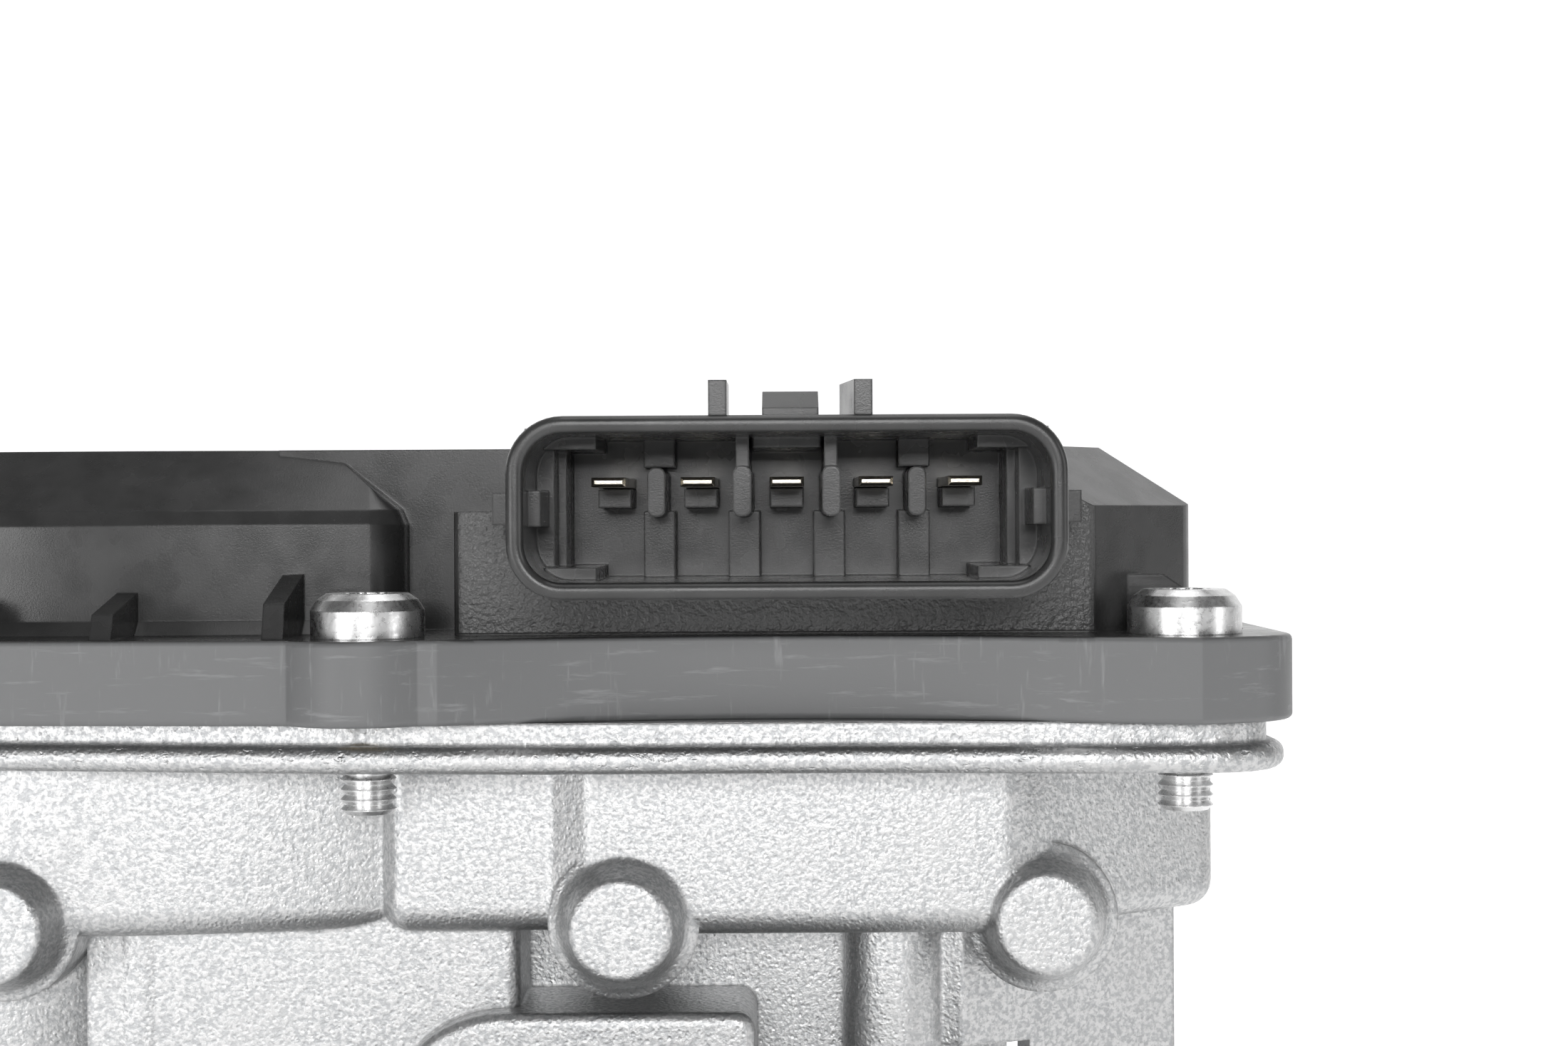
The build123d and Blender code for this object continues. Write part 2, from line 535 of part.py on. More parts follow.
def gear_cover():
    cover = prism(cover_flange_outline(), JOINT_Z, COVER_FLANGE_Z)
    cover = fillet(level_edges(cover, JOINT_Z) + level_edges(cover, COVER_FLANGE_Z), EDGE_R)
    cover += cover_body(0, BLOCK_FACE_Y) & block((-100, 100), (-60, 60), (JOINT_Z, ROOF_Z + 1))
    cover += shoulder(grow(bulge_outline(), SKIRT), COVER_FLANGE_Z, COVER_FLANGE_Z + SKIRT, SKIRT)
    cover += socket_tube(SOCKET_FACE_Y + 4, BLOCK_FACE_Y + 4, 0)
    cover -= cover_body(COVER_WALL, BLOCK_FACE_Y + COVER_WALL + 1.6)
    cover -= cylinder(0, 0, JOINT_Z - 1, SECTOR_Z[1] + 0.8, SECTOR_TIP_R + 0.8)
    cover += socket_tube(BLOCK_FACE_Y + 0.5, SETBACK_Y - 2.2, 0.2) & block(
        (-40, 40), (-60, 0), (BLOCK_TOP_Z - 8, CEILING_Z + 0.5))
    mouth = socket_tube(SOCKET_FACE_Y, SOCKET_BACK_Y, SOCKET_WALL)
    cover = cover - mouth + socket_rim()
    for piece in connector_keys() + latch():
        cover += piece
    for side in (-1, 1):
        cover += socket_block(sorted((side * 17.8, side * 20.2)), (-36.5, BLOCK_FACE_Y + 1), (-1.1, 1.1))
    for x, wall_y, height in ((-47.6, -27.6, 3.4), (-36.4, -28.6, 3.2), (-24.6, -28.0, 4.4)):
        cover += leaning_rib(x, wall_y, height)
    foot, head = COVER_FLANGE_Z - 0.3, COVER_FLANGE_Z + 4.0
    gusset = make_face(Polyline((36.6, -27.0, foot), (45.6, -27.0, foot), (39.4, -27.0, head),
                                (36.6, -27.0, head), close=True))
    cover += extrude(gusset, 1.3, dir=(0, 1, 0))
    cover += cylinder(IDLER_X, IDLER_Y, SMALL_GEAR_Z[1] + 1.0, CEILING_Z + 0.5, 5.2)
    cover -= cylinder(IDLER_X, IDLER_Y, JOINT_Z, IDLER_PIN_Z[1] + 0.3, IDLER_PIN_R + SEAT_GAP)
    cover += cylinder(0, 0, MAGNET_Z[1] - 1.2, CEILING_Z + 0.5, 4.6)
    for x, y in BLADE_PLACES:
        cover += block((x - 2.2, x + 2.2), (y - 3.2, y + 3.2), (CLIP_LOW_Z - 0.5, CEILING_Z + 0.3))
        cover -= block((x - 1.1, x + 1.1), (y - 2.4, y + 2.4), (CLIP_LOW_Z - 1, PIN_Z + PIN_T / 2))
    cover -= seal_ring(0.05)
    for x, y in SCREW_PLACES:
        cover -= cylinder(x, y, JOINT_Z - 1, COVER_FLANGE_Z + 1, LIMITER_R)
        cover -= cylinder(x, y, COVER_FLANGE_Z, COVER_FLANGE_Z + SCREW_HEAD_H + 1, SCREW_HEAD_R + 0.15)
    for lead in terminal_leads():
        cover -= lead
    return cover


def seal_ring(gap):
    outline = box_outline()
    band = grow(outline, gap - SEAL_OUT) - grow(outline, -SEAL_IN - gap)
    return prism(band, JOINT_Z, JOINT_Z + SEAL_H + gap)


def cover_seal():
    return seal_ring(0)


def screw(x, y, z_seat, shank_r, head_r, head_h, length):
    """Pan-head screw with a bevelled head and a grooved thread."""
    tip = z_seat - length
    turns = int((length - 3.0) / THREAD_PITCH)
    points = [(0, tip), (SCREW_ROOT_SHARE * shank_r, tip)]
    for i in range(turns):
        z = tip + i * THREAD_PITCH
        points.append((shank_r, z + THREAD_PITCH / 2))
        points.append((SCREW_ROOT_SHARE * shank_r, z + THREAD_PITCH))
    points.append((shank_r, tip + turns * THREAD_PITCH + 0.4))
    points.append((shank_r, z_seat))
    points += [(head_r, z_seat), (head_r, z_seat + head_h * 0.62), (head_r * 0.88, z_seat + head_h * 0.86),
               (head_r * 0.72, z_seat + head_h), (0, z_seat + head_h)]
    solid = turned(points, x, y)
    star = Circle(head_r * 0.36)
    for i in range(6):
        star += Pos(*polar(60 * i, head_r * 0.36)) * Circle(head_r * 0.11)
    return solid - prism(Pos(x, y) * star, z_seat + head_h * 0.4, z_seat + head_h + 1)


def cover_screws():
    length = COVER_FLANGE_Z - SCREW_POINT_Z
    return Compound([screw(x, y, COVER_FLANGE_Z, SCREW_R, SCREW_HEAD_R, SCREW_HEAD_H, length).solid()
                     for x, y in SCREW_PLACES])


def screw_sleeves():
    return Compound([ring(x, y, JOINT_Z, COVER_FLANGE_Z, SCREW_R + LIMITER_GAP, LIMITER_R).solid()
                     for x, y in SCREW_PLACES])


def lead_strip(points):
    """A flat strip that follows the points at the height of the pins."""
    strip = None
    for start, end in zip(points, points[1:]):
        leg = make_hull([e for p in (start, end) for e in (Pos(*p) * Circle(STRIP_W / 2)).edges()])
        leg = prism(leg, PIN_Z - PIN_T / 2, PIN_Z + PIN_T / 2)
        strip = leg if strip is None else strip + leg
    return strip


def terminal_leads():
    """Five blades, each with the strip that carries on to the motor or to the sensor."""
    front_blade, back_blade = BLADE_PLACES
    routes = [
        [(-11.5, -16.5), (-34.0, -15.5), (back_blade[0] + 9, MOTOR_Y - 1), (back_blade[0] + 1, back_blade[1])],
        [(-4.5, -13.5), (-22.0, -13.0), (-38.0, -12.5), (front_blade[0] + 1, front_blade[1])],
        [(9.0, -12.0), (-5.6, -7.0)],
        [(14.0, -10.0), (6.4, 0.0)],
        [(20.0, -6.0), (8.0, 6.0)],
    ]
    routes[0], routes[1] = routes[1], routes[0]
    leads = []
    for x, route in zip(PIN_XS, routes):
        half_w, half_t = PIN_W / 2, PIN_T / 2
        blade = block((x - half_w, x + half_w), (PIN_TIP_Y, SETBACK_Y), (PIN_Z - half_t, PIN_Z + half_t))
        tip_edges = [e for e in blade.edges() if abs(e.center().Y - PIN_TIP_Y) < 1e-6]
        blade = chamfer(tip_edges, 0.22)
        leads.append((blade + lead_strip([(x, -22.5)] + route)).solid())
    return leads


def connector_terminals():
    return Compound(terminal_leads())


def contact_clips():
    """Spring clips in the cover that the motor's blades push into."""
    clips = []
    for x, y in BLADE_PLACES:
        for side in (-1, 1):
            leg = sorted((x + side * 0.43, x + side * 0.93))
            clips.append(block(leg, (y - 2.0, y + 2.0), (CLIP_LOW_Z, CLIP_LEG_Z)))
        clips.append(block((x - 0.93, x + 0.93), (y - 2.0, y + 2.0), (CLIP_LEG_Z, PIN_Z - PIN_T / 2)))
    return Compound([(clips[i] + clips[i + 1] + clips[i + 2]).solid() for i in (0, 3)])


def sensor_stators():
    """Two steel half-rings on the end of the cover's post, with the sensor chip between them."""
    disc = cylinder(0, 0, MAGNET_Z[0] + 0.9, MAGNET_Z[1] - 1.2, CUP_R - CUP_WALL - MAGNET_T - 0.8)
    return disc - block((-CUP_R, CUP_R), (-1.0, 1.0), (SHAFT_TOP_Z, CUP_TOP_Z))


def sensor_chip():
    return block((-2.6, 2.6), (-1.0, 1.0), (MAGNET_Z[0] + 1.4, MAGNET_Z[1] - 1.2))


# ---------------------------------------------------------------- gears
def involute(angle):
    return math.tan(angle) - angle


def gear_sketch(teeth, module, tooth_at):
    """Outline of a spur gear with one tooth centred on the direction tooth_at (degrees)."""
    pressure = math.radians(PRESSURE_ANGLE)
    pitch_r = module * teeth / 2
    base_r = pitch_r * math.cos(pressure)
    tip_r, root_r = pitch_r + module, pitch_r - 1.25 * module
    half_tooth = math.pi / (2 * teeth) - BACKLASH / 4 / pitch_r
    low_r = max(base_r, root_r)
    mid_r = (low_r + tip_r) / 2

    def point(centre, side, radius, on_flank=None):
        flank = on_flank or radius
        angle = half_tooth + involute(pressure) - involute(math.acos(min(1, base_r / flank)))
        return polar(math.degrees(centre + side * angle), radius)

    edges = []
    for i in range(teeth):
        centre = math.radians(tooth_at) + 2 * math.pi * i / teeth
        following = centre + 2 * math.pi / teeth
        tip_mid = polar(math.degrees(centre), tip_r)
        root_mid = polar(math.degrees(centre + following) / 2, root_r)
        low, high = [point(centre, side, low_r) for side in (-1, 1)]
        foot, next_foot = point(centre, 1, root_r, low_r), point(following, -1, root_r, low_r)
        if low_r > root_r:
            edges.append(Line(point(centre, -1, root_r, low_r), low))
        edges.append(ThreePointArc(low, point(centre, -1, mid_r), point(centre, -1, tip_r)))
        edges.append(ThreePointArc(point(centre, -1, tip_r), tip_mid, point(centre, 1, tip_r)))
        edges.append(ThreePointArc(point(centre, 1, tip_r), point(centre, 1, mid_r), high))
        if low_r > root_r:
            edges.append(Line(high, foot))
        edges.append(ThreePointArc(foot, root_mid, next_foot))
    return make_face(Wire(edges))


def flatted_shaft(z_low, z_high, gap=0.0):
    """The end of the throttle shaft, with a flat on each side."""
    return cylinder(0, 0, z_low, z_high, SHAFT_R + gap) & block(
        (-SHAFT_FLAT - gap, SHAFT_FLAT + gap), (-20, 20), (z_low, z_high))


def sector_gear():
    """Moulded part gear with its hub, and the cup that carries the sensor magnets."""
    teeth = prism(gear_sketch(SECTOR_TEETH, SECTOR_MODULE, IDLER_ANGLE), *SECTOR_Z)
    first, last = IDLER_ANGLE - TOOTH_MARGIN, IDLER_ANGLE + THROTTLE_TRAVEL + TOOTH_MARGIN
    steps = [first + (last - first) * i / 4 for i in range(5)]
    wedge = [(0, 0)] + [polar(step, SECTOR_TIP_R * 1.3) for step in steps]
    gear = teeth & prism(make_face(Polyline(*wedge, close=True)), *SECTOR_Z)
    for i in range(3):
        x, y = polar(first + (last - first) * (i + 0.5) / 3, (SECTOR_TIP_R + HUB_R) / 2 - 1.2)
        gear -= cylinder(x, y, *SECTOR_Z, 2.2)
    gear += cylinder(0, 0, *SECTOR_Z, HUB_R)
    gear += cylinder(0, 0, FLOOR_Z + 0.6, SECTOR_Z[0], SLEEVE_R)
    gear += cylinder(0, 0, SECTOR_Z[1], CUP_TOP_Z, CUP_R)
    gear -= cylinder(0, 0, MAGNET_Z[0], CUP_TOP_Z + 1, CUP_R - CUP_WALL)
    gear -= cylinder(0, 0, FLOOR_Z, SECTOR_Z[0] + 0.5, SHAFT_R + SEAT_GAP)
    return gear - flatted_shaft(SECTOR_Z[0] - 1, MAGNET_Z[0] + 1, SEAT_GAP)


def sensor_magnets():
    """Two arc magnets inside the cup."""
    outer = CUP_R - CUP_WALL
    tube = ring(0, 0, *MAGNET_Z, outer - MAGNET_T, outer)
    return tube - block((-1.6, 1.6), (-20, 20), (MAGNET_Z[0] - 1, MAGNET_Z[1] + 1))


def idler_gear():
    """Two gears moulded in one: the large takes the motor, the small drives the sector."""
    gap_side = IDLER_ANGLE + 180 + 180 / SECTOR_PINION_TEETH
    gear = prism(gear_sketch(IDLER_TEETH, IDLER_MODULE, MOTOR_ANGLE), *BIG_GEAR_Z)
    gear += prism(gear_sketch(SECTOR_PINION_TEETH, SECTOR_MODULE, gap_side), *SMALL_GEAR_Z)
    gear += cylinder(0, 0, FLOOR_Z + 1.5, BIG_GEAR_Z[0], 4.6)
    for i in range(6):
        x, y = polar(30 + 60 * i, 11.6)
        gear -= cylinder(x, y, *BIG_GEAR_Z, 2.9)
    return Pos(IDLER_X, IDLER_Y, 0) * (gear - cylinder(0, 0, FLOOR_Z, JOINT_Z + 5, IDLER_PIN_R + RUN_GAP))


def idler_pin():
    return chamfer(cylinder(IDLER_X, IDLER_Y, *IDLER_PIN_Z, IDLER_PIN_R).edges(), 0.4)


# ---------------------------------------------------------------- throttle shaft
def throttle_shaft():
    shaft = cylinder(0, 0, SHAFT_BOTTOM_Z, SECTOR_Z[0], SHAFT_R)
    shaft += flatted_shaft(SECTOR_Z[0] - 1, SHAFT_TOP_Z)
    shaft -= block((-9, 9), (-PLATE_T / 2 - SEAT_GAP, PLATE_T / 2 + SEAT_GAP), (-BORE_R - 0.2, BORE_R + 0.2))
    shaft -= block((-9, 9), (-9, -SHAFT_R + 1.4), (-PLATE_SCREW_Z - 6, PLATE_SCREW_Z + 6))
    for z in (-PLATE_SCREW_Z, PLATE_SCREW_Z):
        shaft -= bar_y(0, z, -9, 9, PLATE_SCREW_R + SEAT_GAP)
    return shaft


def throttle_plate():
    plate = bar_y(0, 0, -PLATE_T / 2, PLATE_T / 2, BORE_R - PLATE_GAP)
    for z in (-PLATE_SCREW_Z, PLATE_SCREW_Z):
        plate -= bar_y(0, z, -9, 9, PLATE_SCREW_R + SEAT_GAP)
    return plate


def plate_screws():
    seat = -SHAFT_R + 1.4
    screws = []
    for z in (-PLATE_SCREW_Z, PLATE_SCREW_Z):
        head = fillet(level_y_edges(bar_y(0, z, seat - 1.8, seat, 2.8), seat - 1.8), 0.9)
        body = head + bar_y(0, z, seat - 0.2, SHAFT_R - 0.2, PLATE_SCREW_R)
        cross = block((-1.9, 1.9), (seat - 3, seat - 0.9), (z - 0.3, z + 0.3))
        cross += block((-0.3, 0.3), (seat - 3, seat - 0.9), (z - 1.9, z + 1.9))
        screws.append((body - cross).solid())
    return Compound(screws)


# ---------------------------------------------------------------- bearings and seals
BEARING_PITCH_R = (SHAFT_R + BEARING_R) / 2


def bearing_ring(r_in, r_out):
    """One ring of the ball bearing, with its groove."""
    middle = BEARING_Z + BEARING_W / 2
    groove = Pos(0, 0, middle) * Torus(BEARING_PITCH_R, BALL_R + 0.06)
    return ring(0, 0, BEARING_Z, BEARING_Z + BEARING_W, r_in, r_out) - groove


def bearing_inner_ring():
    return bearing_ring(SHAFT_R + 0.005, BEARING_PITCH_R - 1.1)


def bearing_outer_ring():
    return bearing_ring(BEARING_PITCH_R + 1.1, BEARING_R)


def bearing_balls():
    middle = BEARING_Z + BEARING_W / 2
    places = [polar(360 * i / BALL_COUNT, BEARING_PITCH_R) for i in range(BALL_COUNT)]
    return Compound([(Pos(x, y, middle) * Sphere(BALL_R)).solid() for x, y in places])


def bearing_retainer():
    return ring(0, 0, BEARING_Z + BEARING_W, BEARING_Z + BEARING_W + RETAINER_T, BEARING_R - 3.2, BEARING_R)


def lip_seal(z_low, height, r_out):
    """Rubber seal: an outer wall, a web and a lip that runs on the shaft."""
    top = z_low + height
    wall = [(r_out, z_low), (r_out, top), (r_out - 0.9, top), (r_out - 0.9, z_low + 1.1)]
    lip = [(SHAFT_R + 1.1, z_low + 1.1), (SHAFT_R + 0.9, top - 0.3), (SHAFT_R + RUN_GAP, top - 0.8),
           (SHAFT_R + 0.3, z_low)]
    return turned(wall + lip)


def upper_shaft_seal():
    return lip_seal(SEAL_Z, SEAL_T - 0.2, SEAL_R)


def lower_shaft_seal():
    return lip_seal(LOWER_SEAL_Z - LOWER_SEAL_T, LOWER_SEAL_T, LOWER_POCKET_R)


def needle_shell():
    inner = LOWER_POCKET_R - NEEDLE_SHELL
    shell = ring(0, 0, NEEDLE_LOW_Z, NEEDLE_TOP_Z, inner, LOWER_POCKET_R)
    for z in (NEEDLE_LOW_Z, NEEDLE_TOP_Z - 0.6):
        shell += ring(0, 0, z, z + 0.6, SHAFT_R + 0.4, LOWER_POCKET_R)
    return shell


def bearing_needles():
    low = NEEDLE_LOW_Z + 0.7
    radius = SHAFT_R + RUN_GAP + NEEDLE_R
    places = [polar(360 * i / NEEDLE_COUNT, radius) for i in range(NEEDLE_COUNT)]
    return Compound([cylinder(x, y, low, low + NEEDLE_LEN, NEEDLE_R - 0.01).solid() for x, y in places])


def shaft_plug():
    """Pressed cup that closes the lower bearing."""
    plug = cylinder(0, 0, PLUG_Z, PLUG_Z + PLUG_T, LOWER_POCKET_R)
    return plug - cylinder(0, 0, LOWER_BOSS_Z, PLUG_Z + PLUG_T - 0.8, LOWER_POCKET_R - 1.2)


def return_spring():
    """Wound return spring round the sleeve of the sector gear."""
    low = FLOOR_Z + SPRING_WIRE_R + 0.25
    coil = Helix(SPRING_PITCH, SPRING_PITCH * SPRING_TURNS, SPRING_R, center=(0, 0, low))
    section = Plane(origin=coil @ 0, z_dir=coil % 0) * Circle(SPRING_WIRE_R)
    return sweep(section, path=coil, is_frenet=True)


# ---------------------------------------------------------------- motor
def motor_can():
    """Drawn steel can with its rear bearing boss."""
    boss_z, inner_r = MOTOR_LOW_Z - MOTOR_BOSS_H, MOTOR_R - MOTOR_CAN_T
    outer = [(0, boss_z), (MOTOR_BOSS_R, boss_z), (MOTOR_BOSS_R, MOTOR_LOW_Z), (MOTOR_R - 1.2, MOTOR_LOW_Z),
             (MOTOR_R, MOTOR_LOW_Z + 1.2), (MOTOR_R, MOTOR_TOP_Z), (0, MOTOR_TOP_Z)]
    inner = [(0, boss_z + 1), (MOTOR_BOSS_R - 1, boss_z + 1), (MOTOR_BOSS_R - 1, MOTOR_LOW_Z + MOTOR_CAN_T),
             (inner_r, MOTOR_LOW_Z + MOTOR_CAN_T), (inner_r, MOTOR_TOP_Z + 1), (0, MOTOR_TOP_Z + 1)]
    return turned(outer, MOTOR_X, MOTOR_Y) - turned(inner, MOTOR_X, MOTOR_Y)


def motor_bush():
    low = MOTOR_LOW_Z - MOTOR_BOSS_H + 1
    return ring(MOTOR_X, MOTOR_Y, low, MOTOR_LOW_Z + 1, MOTOR_SHAFT_R + RUN_GAP, MOTOR_BOSS_R - 1)


def motor_magnets():
    outer = MOTOR_R - MOTOR_CAN_T
    tube = ring(MOTOR_X, MOTOR_Y, MOTOR_LOW_Z + 6, MOTOR_TOP_Z - 12, ARMATURE_R + 0.5, outer)
    gap = block((-3.2, 3.2), (-MOTOR_R, MOTOR_R), (MOTOR_LOW_Z, MOTOR_TOP_Z))
    return tube - Pos(MOTOR_X, MOTOR_Y, 0) * gap


def motor_end_cap():
    """Brush holder that closes the can, with the front bearing in its middle."""
    outer = MOTOR_R - MOTOR_CAN_T
    cap = ring(MOTOR_X, MOTOR_Y, MOTOR_TOP_Z - 3, MOTOR_TOP_Z, MOTOR_SHAFT_R + 0.4, outer)
    cap += ring(MOTOR_X, MOTOR_Y, MOTOR_TOP_Z - 9, MOTOR_TOP_Z - 3, outer - 1.6, outer)
    for x, y in BLADE_PLACES:
        cap -= block((x - 0.45, x + 0.45), (y - 1.9, y + 1.9), (MOTOR_TOP_Z - 4, MOTOR_TOP_Z + 1))
    return cap - cylinder(MOTOR_X, MOTOR_Y, MOTOR_TOP_Z - 2.6, MOTOR_TOP_Z + 1, 4.0)


def motor_front_bush():
    return ring(MOTOR_X, MOTOR_Y, MOTOR_TOP_Z - 2.6, MOTOR_TOP_Z, MOTOR_SHAFT_R + RUN_GAP, 4.0)


def motor_plate():
    """Steel plate under the two motor screws."""
    plate = prism(motor_plate_outline(), MOTOR_TOP_Z, MOTOR_TOP_Z + MOTOR_PLATE_T)
    through = (MOTOR_TOP_Z - 1, FLOOR_Z + 1)
    plate -= cylinder(MOTOR_X, MOTOR_Y, *through, 4.6)
    for angle in MOTOR_EAR_ANGLES:
        x, y = polar(angle, MOTOR_EAR_R)
        plate -= cylinder(MOTOR_X + x, MOTOR_Y + y, *through, MOTOR_SCREW_R + 0.15)
    for x, y in BLADE_PLACES:
        plate -= block((x - 1.4, x + 1.4), (y - 2.8, y + 2.8), through)
    return plate


def motor_blades():
    return Compound([block((x - 0.4, x + 0.4), (y - 1.8, y + 1.8), (MOTOR_TOP_Z - 3.9, JOINT_Z + 10)).solid()
                     for x, y in BLADE_PLACES])


def motor_screws():
    seat = MOTOR_TOP_Z + MOTOR_PLATE_T
    screws = []
    for angle in MOTOR_EAR_ANGLES:
        x, y = polar(angle, MOTOR_EAR_R)
        screws.append(screw(MOTOR_X + x, MOTOR_Y + y, seat, MOTOR_SCREW_R, 2.6, 1.7, 8.0).solid())
    return Compound(screws)


def motor_spring_washer():
    """Cone spring under the motor that takes up its play."""
    thick = 0.5
    low, high = POCKET_Z, MOTOR_LOW_Z - thick
    wide, narrow = MOTOR_R - 3.0, MOTOR_R - 7.5
    return turned([(wide, low), (wide, low + thick), (narrow, high + thick), (narrow, high)], MOTOR_X, MOTOR_Y)


def motor_brushes():
    bars = []
    for side in (-1, 1):
        span = sorted((MOTOR_X + side * (COMMUTATOR_R + 0.08), MOTOR_X + side * 10.0))
        bars.append(block(span, (MOTOR_Y - 2.0, MOTOR_Y + 2.0), (MOTOR_TOP_Z - 8.2, MOTOR_TOP_Z - 4.4)).solid())
    return Compound(bars)


def motor_shaft():
    top = SECTOR_Z[0] - 0.4
    shaft = cylinder(MOTOR_X, MOTOR_Y, MOTOR_LOW_Z - MOTOR_BOSS_H + 1.4, top, MOTOR_SHAFT_R)
    return chamfer(shaft.edges(), 0.3)


def motor_pinion():
    gap_side = MOTOR_ANGLE + 180 + 180 / MOTOR_PINION_TEETH
    gear = prism(gear_sketch(MOTOR_PINION_TEETH, IDLER_MODULE, gap_side), FLOOR_Z + 2.4, BIG_GEAR_Z[1] + 0.6)
    return Pos(MOTOR_X, MOTOR_Y, 0) * (gear - cylinder(0, 0, FLOOR_Z, SECTOR_Z[0], MOTOR_SHAFT_R))


def slot_outline(inset):
    """One slot of the armature, lying on the X axis."""
    middle = ARMATURE_R - 4.2
    depth, width = 0.72 * middle, 0.84 * middle
    return Pos(middle, 0) * RectangleRounded(depth - 2 * inset, width - 2 * inset, middle / 4 - inset)


def armature_core():
    """Slotted iron core of the rotor."""
    star = Circle(ARMATURE_R) - Circle(MOTOR_SHAFT_R)
    for i in range(ARMATURE_SLOTS):
        angle = 360 * (i + 0.5) / ARMATURE_SLOTS
        star -= Rot(0, 0, angle) * slot_outline(0)
        star -= Rot(0, 0, angle) * Pos(ARMATURE_R - 0.5, 0) * Rectangle(3.4, 1.1)
    return Pos(MOTOR_X, MOTOR_Y, 0) * prism(star, MOTOR_LOW_Z + 8, MOTOR_TOP_Z - 14)


def armature_windings():
    """Copper coils in the slots, drawn as solid bundles."""
    coils = []
    for i in range(ARMATURE_SLOTS):
        angle = 360 * (i + 0.5) / ARMATURE_SLOTS
        bundle = Rot(0, 0, angle) * slot_outline(0.1)
        coils.append((Pos(MOTOR_X, MOTOR_Y, 0) * prism(bundle, MOTOR_LOW_Z + 6.2, MOTOR_TOP_Z - 12.2)).solid())
    return Compound(coils)


def commutator():
    body = Circle(COMMUTATOR_R) - Circle(MOTOR_SHAFT_R)
    for i in range(ARMATURE_SLOTS):
        body -= Rot(0, 0, 360 * i / ARMATURE_SLOTS) * Pos(COMMUTATOR_R, 0) * Rectangle(2.0, 0.4)
    return Pos(MOTOR_X, MOTOR_Y, 0) * prism(body, MOTOR_TOP_Z - 11, MOTOR_TOP_Z - 3.6)


# ---------------------------------------------------------------- write every sub-part
SUB_PARTS = (
    throttle_housing, gear_cover, cover_seal, cover_screws, screw_sleeves, connector_terminals, contact_clips,
    sensor_stators, sensor_chip, sensor_magnets, sector_gear, idler_gear, idler_pin, throttle_shaft,
    throttle_plate, plate_screws, bearing_inner_ring, bearing_outer_ring, bearing_balls, bearing_retainer,
    upper_shaft_seal, lower_shaft_seal, needle_shell, bearing_needles, shaft_plug, return_spring, motor_can,
    motor_bush, motor_front_bush, motor_magnets, motor_end_cap, motor_plate, motor_blades, motor_screws,
    motor_spring_washer, motor_brushes, motor_shaft, motor_pinion, armature_core, armature_windings,
    commutator,
)

for sub_part in SUB_PARTS:
    write(sub_part.__name__, sub_part())
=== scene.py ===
"""Looks of the throttle body: materials for every CAD piece, the studio and the camera."""
import json
import math

import bpy
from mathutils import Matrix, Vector


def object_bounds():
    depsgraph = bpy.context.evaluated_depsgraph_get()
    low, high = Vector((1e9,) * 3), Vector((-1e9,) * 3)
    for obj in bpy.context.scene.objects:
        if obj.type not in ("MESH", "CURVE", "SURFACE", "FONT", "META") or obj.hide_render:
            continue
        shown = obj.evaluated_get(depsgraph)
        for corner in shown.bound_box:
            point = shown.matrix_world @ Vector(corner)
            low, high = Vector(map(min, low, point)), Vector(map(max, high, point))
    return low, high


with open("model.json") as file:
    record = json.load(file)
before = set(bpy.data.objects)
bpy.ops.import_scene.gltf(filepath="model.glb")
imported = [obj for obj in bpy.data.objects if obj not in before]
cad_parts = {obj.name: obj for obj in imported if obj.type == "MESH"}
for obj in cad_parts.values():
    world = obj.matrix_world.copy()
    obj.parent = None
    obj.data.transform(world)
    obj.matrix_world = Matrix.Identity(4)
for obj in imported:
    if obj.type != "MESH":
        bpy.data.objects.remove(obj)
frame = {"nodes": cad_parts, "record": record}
cad_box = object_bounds()
MM = 0.001

# Places on the object, in millimetres, that the materials need.
BORE_R = 30.0
JOINT_Z = 62.0
LIP_SPAN_Z = (58.3, 60.5)
FLANGE_TOP_Z = 67.9
BLOCK_FACE_SPAN_Y = (-70.9, -70.35)
BLOCK_SPAN_X = (-12.5, 34.4)

# The camera, in millimetres and degrees.
EYE = (11.8, -232.0, 76.2)
SENSOR_W, LENS = 36.0, 52.1
PITCH_DOWN, ROLL = 0.15, 0.32
WORLD_LIGHT = 0.16


